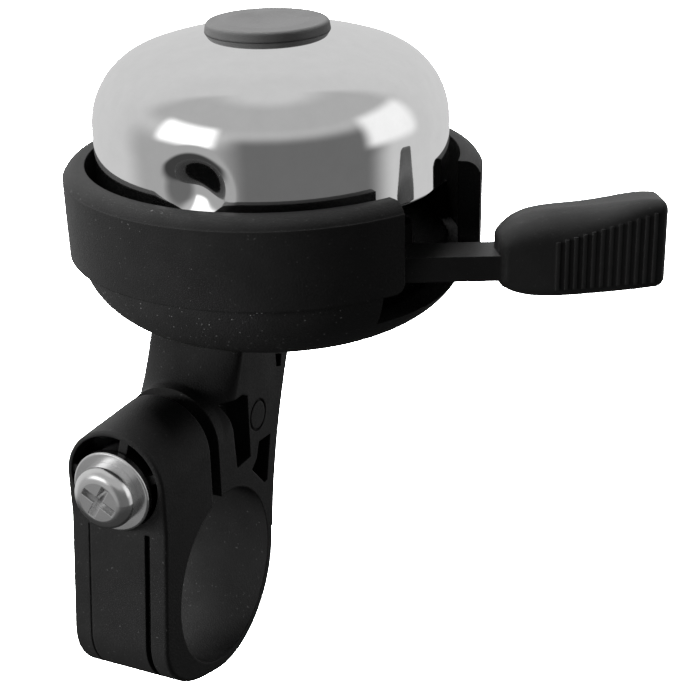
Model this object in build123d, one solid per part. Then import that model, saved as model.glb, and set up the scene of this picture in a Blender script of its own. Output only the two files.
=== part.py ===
"""Bicycle bell with a thumb lever, in millimetres.

Origin: centre of the handlebar clamp's bore.  X runs along the handlebar, the clamp screw's
head faces -Y, and Z is parallel to the bell's own axis, up through the dome.
"""
from build123d import *
from math import cos, radians, sin, sqrt
import os

# ---- handlebar clamp ---------------------------------------------------------------
BAR_R = 11.1            # 22.2 mm handlebar
BAND_W = 13.0           # width of the clamp along the bar
STRAP_T = 1.4           # thin, flexible part of the strap
GAP_FAR = -0.1          # clamp gap, on the neck's side
GAP_NEAR = -2.2         # clamp gap, on the lug's side
LUG_FACE = -13.0        # face the screw's washer sits on
SCREW_Z = 17.3          # clamp screw's axis
LUG_R = 6.5             # round top of the lug
LUG_Z = 18.0            # centre of that round top
EDGE_R = 0.45           # soft outer edges of the lug and strap
BLEND_Y0, BLEND_Y1 = 1.6, 7.5   # where the neck's round foot sweeps up to its full width
NUT_Y = 4.2             # near face of the captive nut
NUT_W, NUT_T = 7.0, 3.2  # square M4 nut
CLAMP_HOLE_R = 2.2
WASHER_T = 0.9

# ---- bell ----------------------------------------------------------------------------
BELL_X, BELL_Y = 7.0, 16.0   # the bell's axis
FLOOR_Z = 31.0          # underside of the bowl
SHOULDER_Z = 39.5       # where the guard ring sits on the bowl
RIM_Z = 50.0            # top of the guard ring
RING_R = 25.2           # guard ring, outside
RING_IN = 22.5          # guard ring, inside
WALL = 2.2              # bowl's wall
UPSTAND_R = 22.4        # bowl's upstand inside the guard ring
UPSTAND_T = 1.3
UPSTAND_Z = 44.0
UPSTAND_END = 42.0      # the upstand stays clear of the window up to this angle
FLOOR_FLAT = 15.6       # flat part of the bowl's underside, radius
WINDOW = (-28.0, 12.5)  # angles about the bell's axis that the lever's window spans
WINDOW_FLOOR = 35.3     # lower edge of the window in the bowl

DOME_R = 21.2           # dome, outside
DOME_T = 1.0            # sheet thickness
DOME_RIM_Z = 47.8
DOME_WALL_Z = 54.4      # top of the straight wall
SHOULDER_R = 9.2        # shoulder of the dome
CROWN_Z = 65.5          # height the crown would reach on the axis
DISH_R = 6.4            # dished middle under the cap, inside radius
DISH_Z = 61.6           # underside of the dish
DIMPLE_AZ = -86.5       # inward dimple that the striker hits
DIMPLE_Z = 51.7
DIMPLE_R = 5.0          # sphere that presses the dimple
DIMPLE_DEPTH = 1.7

CAP_R = 7.5
CAP_DISH_R = 60.0       # the cap's top is slightly hollow
CAP_Z0, CAP_Z1 = 64.4, 66.1

# ---- mechanism -----------------------------------------------------------------------
POST_R = 2.5
FLOOR_TOP = FLOOR_Z + WALL
HUB_Z0, HUB_Z1 = 35.2, 41.9
HUB_R = 6.6
BUSH_R = 3.1
ARM_AZ = -17.0          # inner half of the lever's arm at rest, about the bell's axis
ARM_BEND = 19.5         # where the arm bends, from the bell's axis
OUTER_AZ = 25.0         # direction of the arm's outer half
OUTER_LENGTH = 12.5
ARM_Z0, ARM_Z1 = 38.9, 41.9
ARM_W = 5.0
PAD_X, PAD_Y = 36.7, 14.8   # inner end of the thumb pad
PAD_AZ = 32.0           # direction of the pad
PAD_Z = 37.3            # underside of the pad
# sections along the pad: place, lift of the underside, thickness, height, rounding above the ribs
PAD_STATIONS = ((-0.6, 1.0, 4.4, 5.7, 2.0), (2.5, -0.3, 5.8, 9.1, 3.2), (7.5, -0.65, 6.2, 10.0, 3.2),
                (13.5, -0.6, 5.9, 10.5, 2.1), (17.0, -0.5, 5.5, 10.7, 1.4), (18.8, -0.4, 5.2, 10.3, 1.2))
RIB_COUNT = 12
RIB_START = 5.8         # first rib, along the pad
RIB_PITCH = 1.03
RIB_W = 0.42
RIB_PROUD = 0.2
RIB_BASE = 0.5          # lower ends of the ribs, from PAD_Z
RIB_TOPS = (6.3, 8.9)   # the ribs grow taller outwards
HAMMER_AZ = -70.5       # hammer at rest
PIVOT_R = 9.5           # hammer's pivot, from the bell's axis
STRIKER_RAD = 17.4      # striker's centre, from the bell's axis
STRIKER_R = 2.0
STRIKER_TOP = 54.0
EAR_Z0, EAR_Z1 = 36.0, 38.0
HAMMER_Z0, HAMMER_Z1 = 38.15, 40.0
SPRING_RAD = 4.6
SPRING_WIRE = 0.9
SPRING_TURNS = 3.25
SPRING_Z0, SPRING_Z1 = 42.5, 45.7
WASHER_Z = 46.35        # underside of the washer above the spring
PEG_AZ, PEG_RAD = 130.0, 11.0
STOP_AZ = (-35.5, 12.0)  # stop pegs on either side of the lever's arm
STOP_RAD = 15.0
SEAT_Z = 61.2           # top of the post, where the dome's washer lies
FIXING_Y = (9.5, 18.5)  # screws that hold the bowl on the bracket
RUN_FIT = 0.05          # radial play of a turning fit
PIN_R = 0.9             # hammer's pivot pin
LEAF_T = 0.3            # leaf spring's thickness
LEAF_OUT = 2.35         # leaf's distance from the hammer arm's middle


def at_bell(z=0.0):
    """The bell's axis, at a height."""
    return Location((BELL_X, BELL_Y, z))


def polar(radius, azimuth, z=0.0):
    """A point by radius and angle about the bell's axis."""
    a = radians(azimuth)
    return (BELL_X + radius * cos(a), BELL_Y + radius * sin(a), z)


def spoke(azimuth, z=0.0):
    """A place on the bell's axis with its X turned to an angle."""
    return at_bell(z) * Rot(0, 0, azimuth)


def disc(radius, z0, z1):
    """A solid cylinder about the bell's axis."""
    return at_bell(z0) * Cylinder(radius, z1 - z0, align=(Align.CENTER, Align.CENTER, Align.MIN))


def pillar(x, y, radius, z0, z1):
    """An upright cylinder anywhere."""
    return Pos(x, y, z0) * Cylinder(radius, z1 - z0, align=(Align.CENTER, Align.CENTER, Align.MIN))


def along_y(x, z, radius, y0, y1):
    """A cylinder lying along Y."""
    place = Pos(x, y0, z) * Rot(-90, 0, 0)
    return place * Cylinder(radius, y1 - y0, align=(Align.CENTER, Align.CENTER, Align.MIN))


def side_plate(outline, x0, x1):
    """An outline in Y and Z, carried from x0 to x1."""
    face = Plane.YZ.offset(x0) * make_face(outline)
    return extrude(face, amount=x1 - x0)


def sector(az0, az1, r0, r1, z0, z1):
    """A slice of a ring about the bell's axis, between two angles."""
    profile = Pos(r0, 0, z0) * (Plane.XZ * Rectangle(r1 - r0, z1 - z0, align=(Align.MIN, Align.MIN)))
    return spoke(az0) * revolve(profile, Axis.Z, revolution_arc=az1 - az0)


def turned(*edges):
    """A body of revolution about the bell's axis, from edges in radius and height."""
    return at_bell() * revolve(Plane.XZ * make_face(Curve() + list(edges)), Axis.Z)


def polyline(points):
    """Straight edges through the points and back to the first."""
    return Polyline(*points, close=True)


# ---- bracket -------------------------------------------------------------------------
def screw_side(inset=0.0):
    """Side view of the lug and the strap below it, down to the thin strap under the bar."""
    face_y = LUG_FACE + inset
    low_y, low_z = -14.7 + inset, -2.0
    strap_r = BAR_R + STRAP_T - inset
    under = (-3.4, -sqrt(strap_r**2 - 3.4**2))
    down, round_bar = (low_y - face_y, low_z - 12.5), (-under[1], under[0])
    return make_face(Curve() + [
        Polyline(under, (GAP_NEAR, 0), (GAP_NEAR, LUG_Z + LUG_R), (face_y, LUG_Z + LUG_R),
                 (face_y, 12.5), (low_y, low_z)),
        Spline((low_y, low_z), (-11.9 + inset * 0.8, -8.3 + inset * 0.6), under, tangents=(down, round_bar))])


def neck_side():
    """Side view of the neck, from the strap's end up to the bowl."""
    strap_r = BAR_R + STRAP_T
    return make_face(Curve() + [
        Polyline((strap_r, 0.5), (GAP_FAR, 0), (GAP_FAR, LUG_Z), (BLEND_Y1, LUG_Z), (BLEND_Y1, FLOOR_Z),
                 (23.2, FLOOR_Z)),
        ThreePointArc((23.2, FLOOR_Z), (15.9, 15.8), (strap_r, 0.5))])


def arch(y, top, corner):
    """Upright section of the neck's foot, with rounded upper corners."""
    height = top - LUG_Z + 1
    face = Plane(origin=(0, y, LUG_Z - 1), x_dir=(1, 0, 0), z_dir=(0, -1, 0)) * Rectangle(
        BAND_W, height, align=(Align.CENTER, Align.MIN))
    return fillet(face.vertices().filter_by(lambda v: v.Z > top - 0.01), corner)


def neck_blend():
    """Foot of the neck: round over the nut, sweeping up into the full width under the bowl."""
    sections = []
    for step in range(6):
        share = step / 5
        y = BLEND_Y0 + share * (BLEND_Y1 - BLEND_Y0)
        top = LUG_Z + LUG_R + (FLOOR_Z - LUG_Z - LUG_R) * share**1.6
        sections.append(arch(y, top, LUG_R - 0.02 - 4.2 * share**1.3))
    foot = extrude(arch(GAP_FAR, LUG_Z + LUG_R, LUG_R - 0.02), amount=GAP_FAR - BLEND_Y0)
    return foot + loft(sections)


def along_x(radius, x0, x1, y=0.0, z=0.0):
    """A cylinder lying along X."""
    place = Pos(x0, y, z) * Rot(0, 90, 0)
    return place * Cylinder(radius, x1 - x0, align=(Align.CENTER, Align.CENTER, Align.MIN))


def core_pocket(outline, depth, side):
    """A pocket in the neck's flat side, from an outline in Y and Z."""
    half = BAND_W / 2
    edges = (half - depth, half + 1) if side > 0 else (-half - 1, -half + depth)
    return side_plate(polyline(outline), *edges)


def clamp_bracket():
    """Neck, clamp and strap in one moulding; the strap's thin side flexes as the screw pulls."""
    half = BAND_W / 2
    start = Plane.YZ.offset(-half)
    lug = extrude(start * screw_side(), amount=BAND_W)
    above = Pos(0, LUG_FACE - 1, LUG_Z) * Box(
        BAND_W + 2, GAP_NEAR - LUG_FACE + 2, 2 * LUG_R + 2, align=(Align.CENTER, Align.MIN, Align.MIN))
    lug -= above - along_y(0, LUG_Z, LUG_R, LUG_FACE - 2, GAP_NEAR + 2)
    clamp = lug + along_x(BAR_R + STRAP_T, -half, half)
    outline = clamp.edges().filter_by(lambda e: e.bounding_box().size.Z > 1 and (
        e.center().Y < LUG_FACE + 4 or e.length > 3 * BAR_R))
    body = fillet(outline, EDGE_R)
    body += extrude(start * neck_side(), amount=BAND_W)
    body += neck_blend()

    body -= along_x(BAR_R, -half - 1, half + 1)
    body -= Pos(0, GAP_NEAR, 0) * Box(
        BAND_W + 2, GAP_FAR - GAP_NEAR, 30, align=(Align.CENTER, Align.MIN, Align.MIN))

    # counterbore: a deep ring round the boss that carries the washer, bridged by ribs
    ring = along_y(0, LUG_Z + 0.2, 5.8, LUG_FACE - 1, LUG_FACE + 4.0)
    ring -= along_y(0, SCREW_Z, 4.5, LUG_FACE - 1, LUG_FACE + 4.0)
    for angle in (75, 22, 165):
        ring -= Pos(0, LUG_FACE, SCREW_Z) * Rot(0, -angle, 0) * Pos(4, 0.3, 0) * Box(
            8, 5, 1.1, align=(Align.CENTER, Align.MIN, Align.CENTER))
    body -= ring

    body -= along_y(0, SCREW_Z, CLAMP_HOLE_R, LUG_FACE - 1, NUT_Y + 5.6)
    body -= core_pocket([(2.2, 22.2), (6.3, 22.0), (7.6, 21.3), (7.6, 12.9), (4.1, 12.9), (3.6, 18.5)],
                        BAND_W / 2 - NUT_W / 2 - 0.1, 1)
    nut_room = NUT_W + 0.3
    body -= Pos(-NUT_W / 2 - 0.15, NUT_Y - 0.1, SCREW_Z) * Box(
        BAND_W, NUT_T + 0.2, nut_room, align=(Align.MIN, Align.MIN, Align.CENTER))
    for side in (1, -1):
        body -= core_pocket([(13.0, 13.6), (11.6, 7.6), (10.8, 7.6), (7.8, 10.9), (9.1, 11.9), (9.9, 13.9)],
                            4.5, side)
        body -= core_pocket([(15.3, 23.8), (16.9, 23.2), (16.6, 21.6), (15.4, 22.0)], 3.0, side)
    mark = along_x(2.1, half - 0.25, half + 1, 10.0, 17.6) - along_x(1.8, half - 1, half + 2, 10.0, 17.6)
    body -= mark

    # strap: a groove round it near one edge, and a fine line along the other
    for x0, x1, top, depth in ((3.6, 4.3, 12.0, 0.8), (-4.1, -3.85, 12.0, 0.12)):
        band = Pos(x0, -3.4, top) * Box(x1 - x0, 14, 26, align=(Align.MIN, Align.MAX, Align.MAX))
        core = extrude(Plane.YZ.offset(x0 - 0.1) * screw_side(depth), amount=x1 - x0 + 0.2)
        body -= band - core

    for y in FIXING_Y:
        body -= pillar(0, y, 1.3, FLOOR_Z - 5.5, FLOOR_Z + 1)
    return body - disc(3.2, FLOOR_Z - 1.1, FLOOR_Z + 1)


def clamp_screw():
    """M4 cross-head screw that pulls the lug towards the neck."""
    head_y = LUG_FACE - WASHER_T
    head = along_y(0, SCREW_Z, 3.8, head_y - 2.6, head_y)
    head = fillet(head.edges().sort_by(Axis.Y)[0], 1.4)
    for angle in (30, 120):
        head -= Pos(0, head_y - 2.6, SCREW_Z) * Rot(0, angle, 0) * Box(
            4.4, 2.6, 0.9, align=(Align.CENTER, Align.CENTER, Align.CENTER))
    return head + along_y(0, SCREW_Z, 2.0, head_y - 0.1, NUT_Y + 5.0)


def clamp_washer():
    """Plain washer under the screw's head."""
    y0 = LUG_FACE - WASHER_T
    washer = along_y(0, SCREW_Z, 5.0, y0, LUG_FACE)
    washer = fillet(washer.edges().filter_by(GeomType.CIRCLE).sort_by(Axis.Y)[0], 0.25)
    return washer - along_y(0, SCREW_Z, 2.15, y0 - 1, LUG_FACE + 1)


def clamp_nut():
    """Square M4 nut, held from turning by its slot in the neck."""
    nut = Pos(0, NUT_Y, SCREW_Z) * Box(NUT_W, NUT_T, NUT_W, align=(Align.CENTER, Align.MIN, Align.CENTER))
    return nut - along_y(0, SCREW_Z, 2.0, NUT_Y - 1, NUT_Y + NUT_T + 1)


# ---- bowl and guard ring --------------------------------------------------------------
def window_cut(az0, az1, z0, z1):
    """The gap that the lever's arm swings in."""
    return sector(az0, az1, 18.0, RING_R + 2, z0, z1)


def bowl():
    """Bowl that carries the mechanism, with an upstand inside the guard ring."""
    edge_r = 24.0
    inner_edge = UPSTAND_R - UPSTAND_T
    outside = [
        Line((0, FLOOR_Z), (FLOOR_FLAT, FLOOR_Z)),
        ThreePointArc((FLOOR_FLAT, FLOOR_Z), (21.4, 34.0), (edge_r, SHOULDER_Z)),
        Polyline((edge_r, SHOULDER_Z), (UPSTAND_R, SHOULDER_Z), (UPSTAND_R, UPSTAND_Z),
                 (inner_edge, UPSTAND_Z), (inner_edge, SHOULDER_Z - 0.5)),
        ThreePointArc((inner_edge, SHOULDER_Z - 0.5), (19.2, 35.2), (FLOOR_FLAT - 1.4, FLOOR_TOP)),
        Polyline((FLOOR_FLAT - 1.4, FLOOR_TOP), (0, FLOOR_TOP), (0, FLOOR_Z))]
    body = turned(*outside)
    body -= window_cut(WINDOW[0] - 5, WINDOW[1] + 1, WINDOW_FLOOR, UPSTAND_Z + 1)
    body -= window_cut(WINDOW[1], UPSTAND_END, SHOULDER_Z, UPSTAND_Z + 1)
    body += pillar(*polar(PEG_RAD, PEG_AZ)[:2], 1.2, FLOOR_TOP - 0.5, SPRING_Z1 + 0.6)
    for azimuth in STOP_AZ:
        body += pillar(*polar(STOP_RAD, azimuth)[:2], 1.1, FLOOR_TOP - 0.5, ARM_Z1 + 0.4)
    body -= disc(2.05, FLOOR_Z - 1, FLOOR_TOP + 1)
    for y in FIXING_Y:
        body -= pillar(0, y, 1.55, FLOOR_Z - 1, FLOOR_TOP + 1)
    return body


def guard_ring():
    """C-shaped ring round the rim; its gap lets the lever through."""
    body = turned(
        Polyline((UPSTAND_R + 0.1, SHOULDER_Z), (RING_R - 0.1, SHOULDER_Z), (RING_R, RIM_Z - 1.3),
                 (RING_R - 0.12, RIM_Z - 1.25)),
        ThreePointArc((RING_R - 0.12, RIM_Z - 1.25), (24.5, RIM_Z - 0.4), (23.3, RIM_Z)),
        Polyline((23.3, RIM_Z), (RING_IN, RIM_Z), (UPSTAND_R + 0.1, SHOULDER_Z)))
    body -= window_cut(*WINDOW, SHOULDER_Z - 1, RIM_Z + 1)
    ends = body.edges().filter_by(lambda e: abs(e.length - (RING_R - RING_IN)) < 0.5
                                  and e.center().Z < SHOULDER_Z + 0.1)
    return fillet(ends, 1.2) if ends else body


def fixing_screws():
    """Two pan-head screws through the bowl's floor into the neck."""
    screws = []
    for y in FIXING_Y:
        head = pillar(0, y, 2.6, FLOOR_TOP, FLOOR_TOP + 1.3)
        head = fillet(head.edges().sort_by(Axis.Z)[-1], 0.6)
        for angle in (0, 90):
            head -= Pos(0, y, FLOOR_TOP + 1.3) * Rot(0, 0, angle) * Box(3.0, 0.6, 1.4)
        screws.append(head + pillar(0, y, 1.28, FLOOR_Z - 5, FLOOR_TOP + 0.1))
    return Compound(screws)


# ---- dome ----------------------------------------------------------------------------
def dome_crown():
    """Radius of the shallow crown, and the height of its centre."""
    centre_r = DOME_R - SHOULDER_R
    rise = CROWN_Z - DOME_WALL_Z
    crown_r = (centre_r**2 + rise**2 - SHOULDER_R**2) / (2 * (rise - SHOULDER_R))
    return crown_r, CROWN_Z - crown_r


def dome_profile(inset):
    """Edges of the dome's skin, in radius and height, from the rim to the dish's lip."""
    wall_r = DOME_R - inset
    shoulder_r = SHOULDER_R - inset
    centre_r = DOME_R - SHOULDER_R
    crown_r, crown_z = dome_crown()
    lean = centre_r / (DOME_WALL_Z - crown_z)
    norm = sqrt(1 + lean**2)
    out_r, out_z = lean / norm, 1 / norm
    join = (centre_r + shoulder_r * out_r, DOME_WALL_Z + shoulder_r * out_z)
    half_way = ((1 + out_r) / 2, out_z / 2)
    size = sqrt(half_way[0]**2 + half_way[1]**2)
    middle = (centre_r + shoulder_r * half_way[0] / size, DOME_WALL_Z + shoulder_r * half_way[1] / size)
    lip_r = DISH_R + DOME_T / 2
    skin_r = crown_r - inset

    def crown_point(r):
        return (r, crown_z + sqrt(skin_r**2 - r**2))

    lip = crown_point(lip_r)
    return [Line((wall_r, DOME_RIM_Z), (wall_r, DOME_WALL_Z)),
            ThreePointArc((wall_r, DOME_WALL_Z), middle, join),
            ThreePointArc(join, crown_point((join[0] + lip_r) / 2), lip)], lip


def dome():
    """Steel dome with a dished middle for its screw, and one dimple pressed into the wall."""
    outer, lip_out = dome_profile(0)
    inner, lip_in = dome_profile(DOME_T)
    dish_top = DISH_Z + DOME_T
    skin = turned(*outer, Polyline(lip_out, (DISH_R, lip_out[1] - 0.5), (DISH_R, dish_top), (0, dish_top),
                                   (0, DISH_Z), (DISH_R + DOME_T, DISH_Z), (DISH_R + DOME_T, lip_in[1] - 0.3),
                                   lip_in),
                  *inner, Line((DOME_R - DOME_T, DOME_RIM_Z), (DOME_R, DOME_RIM_Z)))
    centre = polar(DOME_R + DIMPLE_R - DIMPLE_DEPTH, DIMPLE_AZ, DIMPLE_Z)
    bump = Pos(*centre) * Sphere(DIMPLE_R + DOME_T)
    bump &= disc(DOME_R - DOME_T / 2, DOME_RIM_Z, DOME_WALL_Z + 6)
    skin = skin + bump - Pos(*centre) * Sphere(DIMPLE_R)
    return skin - disc(2.1, DISH_Z - 1, dish_top + 1)


def dome_cap():
    """Snap-in cap over the dome's screw."""
    cap = at_bell(CAP_Z0) * Cone(CAP_R, CAP_R - 0.3, CAP_Z1 - CAP_Z0, align=(Align.CENTER, Align.CENTER, Align.MIN))
    cap = fillet(cap.edges().filter_by(GeomType.CIRCLE).sort_by(Axis.Z)[-1], 0.45)
    cap -= at_bell(CAP_Z1 + CAP_DISH_R - 0.2) * Sphere(CAP_DISH_R)
    crown_r, crown_z = dome_crown()
    cap -= at_bell(crown_z) * Sphere(crown_r + 0.02)
    plug = disc(DISH_R - 0.05, DISH_Z + DOME_T + 0.1, CAP_Z1 - 0.7)
    plug -= disc(DISH_R - 1.2, DISH_Z, CAP_Z1 - 1.2)
    return cap + plug


def dome_screw():
    """Screw that holds the dome on its post."""
    under = DISH_Z + DOME_T
    head = disc(3.6, under, under + 1.9)
    head = fillet(head.edges().filter_by(GeomType.CIRCLE).sort_by(Axis.Z)[-1], 0.9)
    for angle in (0, 90):
        head -= at_bell(under + 1.9) * Rot(0, 0, angle) * Box(4.2, 0.8, 1.6)
    return head + disc(1.6, SEAT_Z - 8, under + 0.1)


def dome_washer():
    """Fibre washer that lets the dome ring."""
    return disc(5.0, SEAT_Z, DISH_Z) - disc(1.7, SEAT_Z - 1, DISH_Z + 1)


# ---- lever ---------------------------------------------------------------------------
def centre_post():
    """Riveted post on the bowl's floor; the lever turns on it and the dome stands on it."""
    post = disc(POST_R, FLOOR_TOP, SEAT_Z) + disc(4.5, FLOOR_TOP, FLOOR_TOP + 1.4)
    post += disc(2.0, FLOOR_Z - 0.1, FLOOR_TOP + 0.1) + disc(3.0, FLOOR_Z - 0.9, FLOOR_Z)
    groove_z = WASHER_Z + 0.45
    post -= disc(POST_R + 1, groove_z, groove_z + 0.7) - disc(POST_R - 0.5, groove_z, groove_z + 0.7)
    return post - disc(1.6, SEAT_Z - 9, SEAT_Z + 1)


def thrust_washer():
    """Steel washer that the lever's hub turns on."""
    z0 = FLOOR_TOP + 1.4
    return disc(5.4, z0, z0 + 0.5) - disc(POST_R + 0.1, z0 - 1, z0 + 2)


def lever_bush():
    """Sleeve on the post inside the lever's hub."""
    return disc(BUSH_R, HUB_Z0 - 0.05, HUB_Z1 + 0.3) - disc(POST_R + 0.02, HUB_Z0 - 1, HUB_Z1 + 1)


def pad_place(s, across=0.0, up=0.0):
    """A place along the thumb pad's own line."""
    return Pos(PAD_X, PAD_Y, PAD_Z) * Rot(0, 0, PAD_AZ) * Pos(s, across, up)


def pad_section(s, lift, width, height, front_round, crown=1.4):
    """Rounded section of the pad at s along its line; the thumb's side is its -Y side."""
    half = width / 2
    face = make_face(polyline([(-half, lift), (half, lift), (half, lift + height), (-half, lift + height)]))
    shaped = fillet([v for v in face.vertices() if v.Y > lift + height / 2 and v.X < 0], front_round)
    shaped = fillet(shaped.vertices().filter_by(lambda v: v.Y < lift + 0.01 or v.X > half - 0.01), crown)
    return pad_place(s) * (Plane.YZ * shaped)


def thumb_pad():
    """Thumb pad: its lower inner corner sweeps up to the arm, and its face carries upright ribs."""
    pad = loft([pad_section(*row) for row in PAD_STATIONS])
    along = Vector(pad_place(1).position - pad_place(0).position)
    ends = pad.faces().sort_by(lambda f: f.center().dot(along))
    pad = fillet(ends[0].edges(), 1.3)
    ends = pad.faces().sort_by(lambda f: f.center().dot(along))
    pad = fillet(ends[-1].edges(), 1.1)
    for i in range(RIB_COUNT):
        s = RIB_START + i * RIB_PITCH
        half = 3.1 - 0.04 * max(0.0, s - 7.5)
        top = RIB_TOPS[0] + (RIB_TOPS[1] - RIB_TOPS[0]) * i / (RIB_COUNT - 1)
        pad += pad_place(s, -half - RIB_PROUD, RIB_BASE) * Box(
            RIB_W, 1.2, top - RIB_BASE, align=(Align.CENTER, Align.MIN, Align.MIN))
    return pad


def lever_arm():
    """Flat arm: straight out of the hub, a round knee, then out of the window to the pad."""
    height = ARM_Z1 - ARM_Z0
    bar_place = (Align.MIN, Align.CENTER, Align.MIN)
    knee_x, knee_y, _ = polar(ARM_BEND, ARM_AZ)
    arm = spoke(ARM_AZ, ARM_Z0) * Box(ARM_BEND, ARM_W, height, align=bar_place)
    arm += pillar(knee_x, knee_y, ARM_W / 2, ARM_Z0, ARM_Z1)
    return arm + Pos(knee_x, knee_y, ARM_Z0) * Rot(0, 0, OUTER_AZ) * Box(
        OUTER_LENGTH, ARM_W, height, align=bar_place)


def thumb_lever():
    """Hub, arm, thumb pad, and the ear that carries the hammer, in one moulding."""
    hub = disc(HUB_R, HUB_Z0, HUB_Z1)
    ear = spoke(HAMMER_AZ, EAR_Z0) * (
        Box(PIVOT_R, 4.6, EAR_Z1 - EAR_Z0, align=(Align.MIN, Align.CENTER, Align.MIN))
        + Pos(PIVOT_R, 0, 0) * Cylinder(2.3, EAR_Z1 - EAR_Z0, align=(Align.CENTER, Align.CENTER, Align.MIN)))
    leg_az = PEG_AZ - 9 - SPRING_TURNS * 360
    tab = sector(leg_az - 22, leg_az - 7, HUB_R - 1.2, HUB_R, HUB_Z1 - 0.1, SPRING_Z0 + 0.9)
    body = hub + lever_arm() + ear + tab + thumb_pad()
    body -= disc(BUSH_R + RUN_FIT, HUB_Z0 - 1, SPRING_Z1)
    for side in (1, -1):
        slot = spoke(HAMMER_AZ, EAR_Z1) * Pos(5.2, side * LEAF_OUT, 0) * Box(
            3.0, LEAF_T + 0.1, 5, align=(Align.MIN, Align.CENTER, Align.MIN))
        body -= slot
    body -= spoke(HAMMER_AZ) * Pos(PIVOT_R, 0, EAR_Z0 - 1) * Cylinder(
        PIN_R, 5, align=(Align.CENTER, Align.CENTER, Align.MIN))
    return body


def lever_spring():
    """Torsion spring round the post, from the bowl's peg to the lever's tab."""
    coil_path = Helix((SPRING_Z1 - SPRING_Z0) / SPRING_TURNS, SPRING_Z1 - SPRING_Z0, SPRING_RAD)
    section = Plane(origin=coil_path @ 0, z_dir=coil_path % 0) * Circle(SPRING_WIRE / 2)
    coil = sweep(section, path=coil_path, is_frenet=True)
    low_az = PEG_AZ - 9 - SPRING_TURNS * 360
    spring = spoke(low_az, SPRING_Z0) * coil
    for azimuth, z, reach in ((low_az, SPRING_Z0, HUB_R + 1.0), (PEG_AZ - 9, SPRING_Z1, PEG_RAD + 1.0)):
        leg = Rot(0, 90, 0) * Cylinder(SPRING_WIRE / 2, reach - SPRING_RAD,
                                       align=(Align.CENTER, Align.CENTER, Align.MIN))
        spring += spoke(azimuth, z) * Pos(SPRING_RAD, 0, 0) * (leg + Sphere(SPRING_WIRE / 2))
    return spring


def spring_washer():
    """Washer that keeps the spring and hub down."""
    return disc(5.6, WASHER_Z, WASHER_Z + 0.4) - disc(POST_R + 0.1, WASHER_Z - 1, WASHER_Z + 1)


def e_clip(place, inner_r, outer_r, thickness):
    """Open retaining clip for a grooved pin."""
    ring = Cylinder(outer_r, thickness, align=(Align.CENTER, Align.CENTER, Align.MIN))
    ring -= Pos(0, 0, -1) * Cylinder(inner_r, thickness + 2, align=(Align.CENTER, Align.CENTER, Align.MIN))
    ring -= Box(outer_r + 1, inner_r * 1.7, 3 * thickness, align=(Align.MIN, Align.CENTER, Align.CENTER))
    return place * ring


def post_clip():
    """Clip in the post's groove."""
    return e_clip(spoke(200, WASHER_Z + 0.5), POST_R - 0.48, 4.3, 0.6)


def stop_sleeves():
    """Rubber sleeves on the bowl's two stop pegs, one on each side of the lever's arm."""
    sleeves = []
    for azimuth in STOP_AZ:
        x, y, _ = polar(STOP_RAD, azimuth)
        sleeve = pillar(x, y, 1.95, FLOOR_TOP + 0.5, ARM_Z1 + 0.3)
        sleeves.append(sleeve - pillar(x, y, 1.12, FLOOR_TOP, ARM_Z1 + 1))
    return Compound(sleeves)


# ---- hammer --------------------------------------------------------------------------
def hammer_arm():
    """Arm that swings on the lever's ear and carries the striker."""
    height = HAMMER_Z1 - HAMMER_Z0
    low = (Align.CENTER, Align.CENTER, Align.MIN)
    arm = Pos(PIVOT_R, 0, 0) * Cylinder(2.0, height, align=low)
    arm += Pos(STRIKER_RAD, 0, 0) * Cylinder(2.3, height, align=low)
    arm += Pos(PIVOT_R, 0, 0) * Box(STRIKER_RAD - PIVOT_R, 3.0, height, align=(Align.MIN, Align.CENTER, Align.MIN))
    arm -= Pos(PIVOT_R, 0, -1) * Cylinder(PIN_R + RUN_FIT, height + 2, align=low)
    arm -= Pos(STRIKER_RAD, 0, -1) * Cylinder(1.2, height + 2, align=low)
    return spoke(HAMMER_AZ, HAMMER_Z0) * arm


def hammer_pin():
    """Pivot pin pressed into the lever's ear."""
    x, y, _ = polar(PIVOT_R, HAMMER_AZ)
    pin = pillar(x, y, PIN_R, EAR_Z0, HAMMER_Z1 + 1.3)
    groove_z = HAMMER_Z1 + 0.15
    return pin - (pillar(x, y, PIN_R + 1, groove_z, groove_z + 0.5) - pillar(x, y, PIN_R - 0.3, groove_z, groove_z + 0.5))


def hammer_clip():
    """Clip that keeps the hammer's arm on its pin."""
    return e_clip(spoke(HAMMER_AZ) * Pos(PIVOT_R, 0, HAMMER_Z1 + 0.2), PIN_R - 0.28, 1.9, 0.4)


def hammer_leaves():
    """Two leaf springs, held in the hub, that centre the hammer's arm between them."""
    place = spoke(HAMMER_AZ, HAMMER_Z0 + 0.3)
    return Compound([
        place * Pos(5.6, side * LEAF_OUT, 0) * Box(9.4, LEAF_T, 1.2, align=(Align.MIN, Align.CENTER, Align.MIN))
        for side in (1, -1)])


def striker():
    """Steel slug on the end of the hammer's arm."""
    x, y, _ = polar(STRIKER_RAD, HAMMER_AZ)
    slug = pillar(x, y, STRIKER_R, HAMMER_Z1, STRIKER_TOP)
    slug = fillet(slug.edges().filter_by(GeomType.CIRCLE).sort_by(Axis.Z)[-1], 0.7)
    return slug + pillar(x, y, 1.2, HAMMER_Z0, HAMMER_Z1 + 0.1) + pillar(x, y, 1.6, HAMMER_Z0 - 0.5, HAMMER_Z0)


PARTS = (bowl, guard_ring, clamp_bracket, fixing_screws, clamp_screw, clamp_washer, clamp_nut,
         centre_post, thrust_washer, lever_bush, thumb_lever, lever_spring, spring_washer, post_clip,
         stop_sleeves, hammer_arm, hammer_pin, hammer_clip, hammer_leaves, striker,
         dome_washer, dome, dome_screw, dome_cap)

os.makedirs("parts", exist_ok=True)
for make in PARTS:
    export_step(make(), f"parts/{make.__name__}.step")
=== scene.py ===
import bpy
from math import acos, asin, cos, hypot, pi, radians, sin
from mathutils import Matrix, Vector


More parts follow.
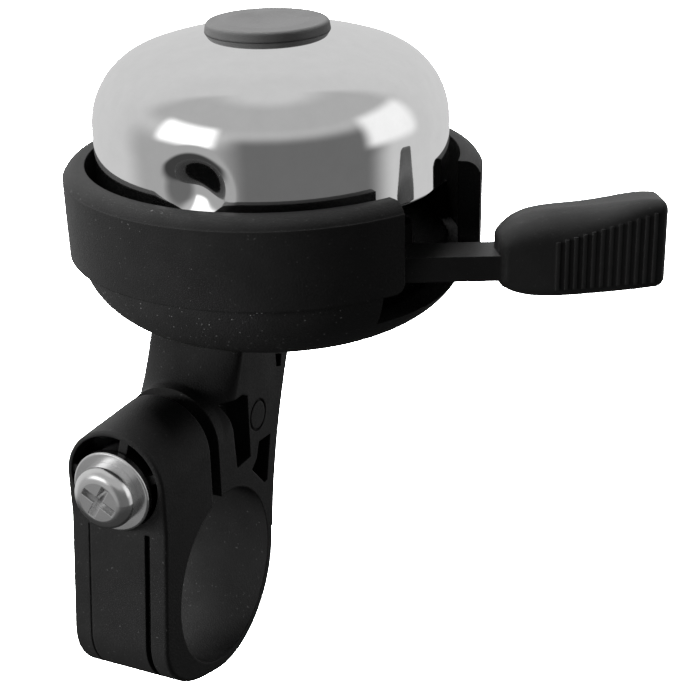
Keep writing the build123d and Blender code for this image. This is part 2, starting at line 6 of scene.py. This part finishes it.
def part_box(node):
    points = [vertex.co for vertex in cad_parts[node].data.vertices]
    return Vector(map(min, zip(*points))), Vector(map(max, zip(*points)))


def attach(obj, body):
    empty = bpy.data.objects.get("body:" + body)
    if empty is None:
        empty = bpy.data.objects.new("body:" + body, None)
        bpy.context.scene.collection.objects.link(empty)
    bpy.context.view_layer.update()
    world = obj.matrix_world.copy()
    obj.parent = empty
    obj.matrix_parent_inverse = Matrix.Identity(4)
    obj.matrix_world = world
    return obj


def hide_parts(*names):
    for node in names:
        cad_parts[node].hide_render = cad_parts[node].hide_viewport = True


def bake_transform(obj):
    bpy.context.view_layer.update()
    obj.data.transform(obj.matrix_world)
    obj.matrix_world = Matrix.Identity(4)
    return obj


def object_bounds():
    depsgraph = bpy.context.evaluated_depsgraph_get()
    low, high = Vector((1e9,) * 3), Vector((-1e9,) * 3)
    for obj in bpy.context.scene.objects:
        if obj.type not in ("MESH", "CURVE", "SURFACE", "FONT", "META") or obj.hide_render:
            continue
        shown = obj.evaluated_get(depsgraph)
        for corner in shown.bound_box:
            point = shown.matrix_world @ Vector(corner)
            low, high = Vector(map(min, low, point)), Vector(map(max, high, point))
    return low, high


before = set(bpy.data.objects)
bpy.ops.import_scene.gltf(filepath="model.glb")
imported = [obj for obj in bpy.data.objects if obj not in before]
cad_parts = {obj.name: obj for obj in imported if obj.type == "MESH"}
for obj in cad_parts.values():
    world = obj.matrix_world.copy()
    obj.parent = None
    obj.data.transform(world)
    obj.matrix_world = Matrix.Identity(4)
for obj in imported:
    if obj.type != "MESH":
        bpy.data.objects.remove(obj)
cad_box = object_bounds()
MM = 0.001


# ---- node helpers ----------------------------------------------------------------------
class Tree:
    """Short calls for building a node tree."""

    def __init__(self, tree):
        self.tree = tree
        tree.nodes.clear()

    def add(self, kind, **values):
        node = self.tree.nodes.new(kind)
        for key, value in values.items():
            if key in node.inputs:
                node.inputs[key].default_value = value
            else:
                setattr(node, key, value)
        return node

    def link(self, source, target):
        self.tree.links.new(source, target)

    def math(self, operation, a, b=None, c=None, clamp=False):
        node = self.tree.nodes.new("ShaderNodeMath")
        node.operation = operation
        node.use_clamp = clamp
        for socket, value in zip(node.inputs, (a, b, c)):
            if value is None:
                continue
            if isinstance(value, (int, float)):
                socket.default_value = value
            else:
                self.link(value, socket)
        return node.outputs[0]

    def smooth(self, value, low, high, out_low=0.0, out_high=1.0):
        node = self.tree.nodes.new("ShaderNodeMapRange")
        node.interpolation_type = "SMOOTHSTEP"
        self.link(value, node.inputs["Value"])
        limits = {"From Min": low, "From Max": high, "To Min": out_low, "To Max": out_high}
        for key, number in limits.items():
            node.inputs[key].default_value = number
        return node.outputs["Result"]

    def noise(self, coords, scale, detail=2.0, rough=0.5):
        node = self.tree.nodes.new("ShaderNodeTexNoise")
        self.link(coords, node.inputs["Vector"])
        node.inputs["Scale"].default_value = scale
        node.inputs["Detail"].default_value = detail
        node.inputs["Roughness"].default_value = rough
        return node.outputs["Fac"]

    def grey_mix(self, factor, low, high):
        node = self.tree.nodes.new("ShaderNodeMix")
        node.data_type = "RGBA"
        self.link(factor, node.inputs["Factor"])
        node.inputs["A"].default_value = low
        node.inputs["B"].default_value = high
        return node.outputs["Result"]


def new_material(name):
    material = bpy.data.materials.new(name)
    material.use_nodes = True
    tree = Tree(material.node_tree)
    out = tree.add("ShaderNodeOutputMaterial")
    shader = tree.add("ShaderNodeBsdfPrincipled")
    tree.link(shader.outputs["BSDF"], out.inputs["Surface"])
    coords = tree.add("ShaderNodeTexCoord").outputs["Object"]
    return material, tree, shader, coords


def grey(value):
    return (value, value, value, 1.0)


def moulded_plastic(name, base, rough, grain, specks, shine=0.35, edge=0.25):
    """Black moulding: fine spark texture, uneven gloss, a few pale dust specks, softened edges."""
    material, tree, shader, coords = new_material(name)
    fine = tree.noise(coords, 5200.0, 3.0, 0.6)
    mottle = tree.noise(coords, 260.0, 4.0, 0.6)
    speck = tree.noise(coords, 3400.0, 1.0, 0.4)
    mask = tree.smooth(speck, 0.72, 0.80, 0.0, specks)
    body = tree.grey_mix(mottle, grey(base * 0.75), grey(base * 1.35))
    mixer = tree.add("ShaderNodeMix", data_type="RGBA")
    tree.link(mask, mixer.inputs["Factor"])
    tree.link(body, mixer.inputs["A"])
    mixer.inputs["B"].default_value = grey(0.14)
    tree.link(mixer.outputs["Result"], shader.inputs["Base Color"])
    uneven = tree.math("MULTIPLY_ADD", mottle, 0.22, rough - 0.11)
    tree.link(tree.math("MULTIPLY_ADD", fine, 0.10, uneven), shader.inputs["Roughness"])
    rounded = tree.add("ShaderNodeBevel", samples=6, Radius=edge * MM)
    bump = tree.add("ShaderNodeBump", Strength=grain, Distance=0.0001)
    tree.link(fine, bump.inputs["Height"])
    tree.link(rounded.outputs["Normal"], bump.inputs["Normal"])
    tree.link(bump.outputs["Normal"], shader.inputs["Normal"])
    shader.inputs["Specular IOR Level"].default_value = shine
    return material


def metal(name, base, rough, brush, waves, edge=0.0):
    """Bare or plated metal with faint smears and a little unevenness."""
    material, tree, shader, coords = new_material(name)
    smear = tree.noise(coords, 420.0, 4.0, 0.6)
    fine = tree.noise(coords, 3800.0, 3.0, 0.6)
    slow = tree.noise(coords, 95.0, 2.0, 0.5)
    shade = tree.grey_mix(smear, grey(base * 0.93), grey(min(1.0, base * 1.04)))
    tree.link(shade, shader.inputs["Base Color"])
    tree.link(tree.math("MULTIPLY_ADD", smear, brush, rough - brush / 2), shader.inputs["Roughness"])
    height = tree.math("MULTIPLY_ADD", fine, 0.02, slow)
    bump = tree.add("ShaderNodeBump", Strength=waves, Distance=0.0003)
    tree.link(height, bump.inputs["Height"])
    if edge:
        rounded = tree.add("ShaderNodeBevel", samples=6, Radius=edge * MM)
        tree.link(rounded.outputs["Normal"], bump.inputs["Normal"])
    tree.link(bump.outputs["Normal"], shader.inputs["Normal"])
    shader.inputs["Metallic"].default_value = 1.0
    return material


black = moulded_plastic("moulded_black_plastic", 0.0038, 0.40, 0.60, 0.10, 0.09)
# The bowl's copy has a slightly lighter base colour, raised to brighten its shaded front-left faces:
# partly painted light. Its denser pale specks are dust.
bowl_black = moulded_plastic("bowl_black_plastic", 0.0046, 0.44, 0.9, 0.40, 0.09)
# The cap's copy of the black plastic has a base colour about four times the plain black. It paints
# the brightly lit top of the cap: painted highlight.
cap_painted_highlight = moulded_plastic("cap_black_plastic", 0.0165, 0.48, 0.4, 0.05, 0.8)
# The lever's copy of the black plastic has a lighter base colour, which paints the sheen on the top
# of its pad: painted sheen.
pad_painted_sheen = moulded_plastic("lever_plastic_painted_sheen", 0.0056, 0.32, 0.25, 0.05, 0.09)
rubber = moulded_plastic("soft_black_rubber", 0.004, 0.75, 0.3, 0.0, 0.1)
nylon = moulded_plastic("natural_nylon", 0.55, 0.5, 0.1, 0.0)
chrome = metal("polished_chrome", 0.90, 0.045, 0.03, 0.05)
zinc = metal("bright_zinc_plate", 0.82, 0.22, 0.14, 0.25, edge=0.12)
spring_steel = metal("spring_steel", 0.42, 0.30, 0.12, 0.2)

finishes = {
    "guard_ring": black, "clamp_bracket": black, "bowl": bowl_black, "dome_cap": cap_painted_highlight,
    "thumb_lever": pad_painted_sheen, "stop_sleeves": rubber, "lever_bush": nylon, "dome_washer": nylon,
    "lever_spring": spring_steel, "post_clip": spring_steel, "hammer_clip": spring_steel,
    "hammer_leaves": spring_steel, "dome": chrome,
}
for name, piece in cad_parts.items():
    piece.data.materials.clear()
    piece.data.materials.append(finishes.get(name, zinc))


# ---- dome, in millimetres --------------------------------------------------------------
DOME_SHEET = 1.0         # sheet thickness
DOME_HOLE_R = 2.1        # hole for the dome's screw
WALL_TOP = 6.6           # straight wall's top above the rim
SHOULDER_R = 9.2         # shoulder's radius
CROWN_TOP = 17.7         # crown's height above the rim
DISH_R = 7.0             # edge of the dished middle
DIMPLE_AZ = radians(-86.5)
DIMPLE_Z = 51.7
DIMPLE_R = 5.0
DIMPLE_DEPTH = 1.7
DIMPLE_MIN_R = 19.5      # only the wall is pressed in
DOME_STEPS = 420


def arc_points(centre_r, centre_z, radius, start, end, count):
    """Points and outward normals along an arc, in radius and height."""
    row = []
    for i in range(count):
        t = start + (end - start) * i / (count - 1)
        row.append((centre_r + radius * cos(t), centre_z + radius * sin(t), cos(t), sin(t)))
    return row


def dome_rows(low, high, post_top):
    """Rows of the dome's outer skin, in millimetres: radius, height and outward normal."""
    radius = (high.x - low.x) / 2 / MM
    rim = low.z / MM
    wall_top = rim + WALL_TOP
    crown = rim + CROWN_TOP
    centre_r = radius - SHOULDER_R
    rise = crown - wall_top
    big = (centre_r**2 + rise**2 - SHOULDER_R**2) / (2 * (rise - SHOULDER_R))
    big_z = crown - big
    lean = pi / 2 - asin(centre_r / hypot(centre_r, wall_top - big_z))
    rows = [(radius - 0.12, rim, 0.6, -0.8), (radius, rim + 0.15, 1, 0)]
    for i in range(1, 27):
        rows.append((radius, rim + 0.15 + (wall_top - rim - 0.15) * i / 27, 1, 0))
    rows += arc_points(centre_r, wall_top, SHOULDER_R, 0, lean, 48)
    rows += arc_points(0, big_z, big, lean, acos(DISH_R / big), 24)[1:]
    last = rows[-1]
    rows.append((DISH_R - 0.35, last[1] - 0.12, -0.5, 0.86))
    rows.append((DISH_R - 0.6, last[1] - 0.6, -1, 0))
    rows.append((DISH_R - 0.6, post_top + 0.2, -0.9, 0.4))
    rows.append((DISH_R - 0.9, post_top, 0, 1))
    rows.append((DOME_HOLE_R, post_top, 0, 1))
    return rows


def dome_mesh():
    """Thin steel dome turned about the bell's axis, with one pressed dimple in its wall."""
    low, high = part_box("dome")
    axis = Vector(((low.x + high.x) / 2, (low.y + high.y) / 2, 0))
    _, washer_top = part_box("dome_washer")
    outer = dome_rows(low, high, washer_top.z / MM + DOME_SHEET)
    inner = [(r - nr * DOME_SHEET, z - nz * DOME_SHEET, nr, nz) for r, z, nr, nz in outer]
    inner[0] = (outer[0][0] - 0.76, outer[0][1], 0, 0)
    inner[-1] = (DOME_HOLE_R, washer_top.z / MM, 0, 1)
    loop = outer + inner[::-1]
    steps = DOME_STEPS
    verts, faces = [], []
    for r, z, _, _ in loop:
        for k in range(steps):
            az = -pi + 2 * pi * k / steps
            push = 0.0
            if r > DIMPLE_MIN_R:
                away = hypot((az - DIMPLE_AZ) * r, z - DIMPLE_Z)
                if away < DIMPLE_R:
                    push = DIMPLE_DEPTH * ((1 + cos(pi * away / DIMPLE_R)) / 2) ** 0.9
            rr = (r - push) * MM
            verts.append((axis.x + rr * cos(az), axis.y + rr * sin(az), z * MM))
    count = len(loop)
    for i in range(count):
        j = (i + 1) % count
        for k in range(steps):
            n = (k + 1) % steps
            faces.append((i * steps + k, i * steps + n, j * steps + n, j * steps + k))
    mesh = bpy.data.meshes.new("dome_shell")
    mesh.from_pydata(verts, [], faces)
    mesh.shade_smooth()
    mesh.materials.append(chrome)
    piece = bpy.data.objects.new("dome_shell", mesh)
    bpy.context.scene.collection.objects.link(piece)
    return piece


dome_shell = dome_mesh()
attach(dome_shell, "base")
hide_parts("dome")


def bending_spring(name, node):
    """A still copy of the node's own wire or leaf, left where the node stands; the node itself is
    hidden.
    """
    piece = bpy.data.objects.new(name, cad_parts[node].data.copy())
    bpy.context.scene.collection.objects.link(piece)
    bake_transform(piece)
    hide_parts(node)


bending_spring("lever_spring_coil", "lever_spring")

bending_spring("hammer_leaf_pair", "hammer_leaves")


# ---- studio ----------------------------------------------------------------------------
WALL_LEVEL = 0.62        # brightness of the plain walls
UNDER_LEVEL = 0.05       # and of the dark below the floor
BACKDROP = 1.02          # white that the camera sees behind the bell
FLOOR_DROP = 0.030
FLOOR_SIZE = 4.0
FLOOR_GLOW = 0.42
def studio_world():
    """Plain soft studio: pale walls, a grey ceiling, two soft boxes and one dark flag."""
    world = bpy.data.worlds.new("studio")
    bpy.context.scene.world = world
    world.use_nodes = True
    tree = Tree(world.node_tree)
    out = tree.add("ShaderNodeOutputWorld")
    direction = tree.add("ShaderNodeTexCoord").outputs["Generated"]
    parts = tree.add("ShaderNodeSeparateXYZ")
    tree.link(direction, parts.inputs[0])
    to_degrees = 180 / pi
    turn = tree.math("ARCTAN2", parts.outputs["Y"], parts.outputs["X"])
    azimuth = tree.math("MULTIPLY", turn, to_degrees)
    height = tree.math("MULTIPLY", tree.math("ARCSINE", parts.outputs["Z"]), to_degrees)
    level = tree.math("ADD", WALL_LEVEL, 0.0)
    # centre azimuth, half width, centre height, half height, edge softness, brightness
    panels = (
        (120, 60, 20, 35, 15, 0.65),     # pale wall behind
        (-120, 40, -10, 25, 12, 0.40),   # grey side wall
        (-40, 50, -5, 30, 12, 0.15),     # dark flag in front
        (-60, 100, 50, 22, 10, 0.45),    # grey ceiling
        (-120, 20, 22, 12, 5, 1.50),     # soft box at the left
        (20, 20, 15, 18, 6, 1.00),       # soft box at the right
    )
    for centre, half, mid, tall, soft, value in panels:
        turned = tree.math("WRAP", tree.math("SUBTRACT", azimuth, centre), 180.0, -180.0)
        side = tree.smooth(tree.math("ABSOLUTE", turned), half - soft, half + soft, 1.0, 0.0)
        raised = tree.math("SUBTRACT", height, mid)
        up = tree.smooth(tree.math("ABSOLUTE", raised), tall - soft, tall + soft, 1.0, 0.0)
        mask = tree.math("MULTIPLY", side, up)
        change = tree.math("MULTIPLY", tree.math("SUBTRACT", value, level), mask)
        level = tree.math("ADD", level, change)
    low = tree.smooth(height, -36.0, -22.0, 1.0, 0.0)
    darker = tree.math("MULTIPLY", tree.math("SUBTRACT", UNDER_LEVEL, level), low)
    level = tree.math("ADD", level, darker)
    seen = tree.add("ShaderNodeBackground", Color=(1, 1, 1, 1), Strength=BACKDROP)
    lit = tree.add("ShaderNodeBackground", Color=(1, 1, 1, 1))
    tree.link(level, lit.inputs["Strength"])
    chooser = tree.add("ShaderNodeMixShader")
    tree.link(tree.add("ShaderNodeLightPath").outputs["Is Camera Ray"], chooser.inputs["Fac"])
    tree.link(lit.outputs[0], chooser.inputs[1])
    tree.link(seen.outputs[0], chooser.inputs[2])
    tree.link(chooser.outputs[0], out.inputs["Surface"])


def floor():
    """Plain pale floor, a little below the clamp, that gives no bounced light or reflection."""
    material = bpy.data.materials.new("pale_floor")
    material.use_nodes = True
    tree = Tree(material.node_tree)
    out = tree.add("ShaderNodeOutputMaterial")
    matt = tree.add("ShaderNodeBsdfDiffuse", Color=(0.8, 0.8, 0.8, 1))
    glow = tree.add("ShaderNodeEmission", Color=(1, 1, 1, 1), Strength=FLOOR_GLOW)
    both = tree.add("ShaderNodeAddShader")
    tree.link(matt.outputs[0], both.inputs[0])
    tree.link(glow.outputs[0], both.inputs[1])
    tree.link(both.outputs[0], out.inputs["Surface"])
    z = cad_box[0].z - FLOOR_DROP
    corners = [(x * FLOOR_SIZE, y * FLOOR_SIZE, z) for x, y in ((-1, -1), (1, -1), (1, 1), (-1, 1))]
    mesh = bpy.data.meshes.new("floor")
    mesh.from_pydata(corners, [], [(0, 1, 2, 3)])
    mesh.materials.append(material)
    plane = bpy.data.objects.new("floor", mesh)
    bpy.context.scene.collection.objects.link(plane)
    plane.visible_glossy = False
    plane.visible_diffuse = False


def area_light(name, place, target, size, power):
    """Soft rectangular lamp aimed at the target, which chrome and camera don't see."""
    lamp = bpy.data.lights.new(name, "AREA")
    lamp.shape = "RECTANGLE"
    lamp.size, lamp.size_y = size
    lamp.energy = power
    item = bpy.data.objects.new(name, lamp)
    item.location = place
    item.rotation_euler = (Vector(target) - Vector(place)).to_track_quat("-Z", "Y").to_euler()
    item.visible_glossy = False
    item.visible_camera = False
    bpy.context.scene.collection.objects.link(item)


studio_world()
floor()
middle = (cad_box[0] + cad_box[1]) / 2


def lamp_place(azimuth, elevation, distance):
    """A place seen from the object in a direction given in degrees."""
    az, el = radians(azimuth), radians(elevation)
    return middle + distance * Vector((cos(az) * cos(el), sin(az) * cos(el), sin(el)))


# name, azimuth and elevation, distance, size in metres, watts
for name, place, distance, size, power in (
    ("key", (-137, 12), 0.6, (0.2, 0.12), 19.0),
    ("low", (-104, -20), 0.18, (0.08, 0.04), 0.35),
    ("top", (150, 66), 0.6, (0.3, 0.3), 46.0),
):
    area_light(name, lamp_place(*place, distance), middle, size, power)


# ---- camera ----------------------------------------------------------------------------
def photo_camera():
    """Camera on the clamp screw's side, a little above the bell."""
    look = Vector((-0.39135, 0.82889, -0.39973)).normalized()
    right = Vector((0.90801, 0.41843, -0.02130)).normalized()
    up = right.cross(look).normalized()
    data = bpy.data.cameras.new("camera")
    data.sensor_width = 36.0
    data.lens = 80.33
    data.clip_start, data.clip_end = 0.01, 20.0
    item = bpy.data.objects.new("camera", data)
    place = Matrix((right, up, -look)).transposed().to_4x4()
    place.translation = Vector((0.092547, -0.144738, 0.103243))
    item.matrix_world = place
    bpy.context.scene.collection.objects.link(item)
    bpy.context.scene.camera = item


photo_camera()
bpy.context.scene.view_settings.view_transform = "Standard"
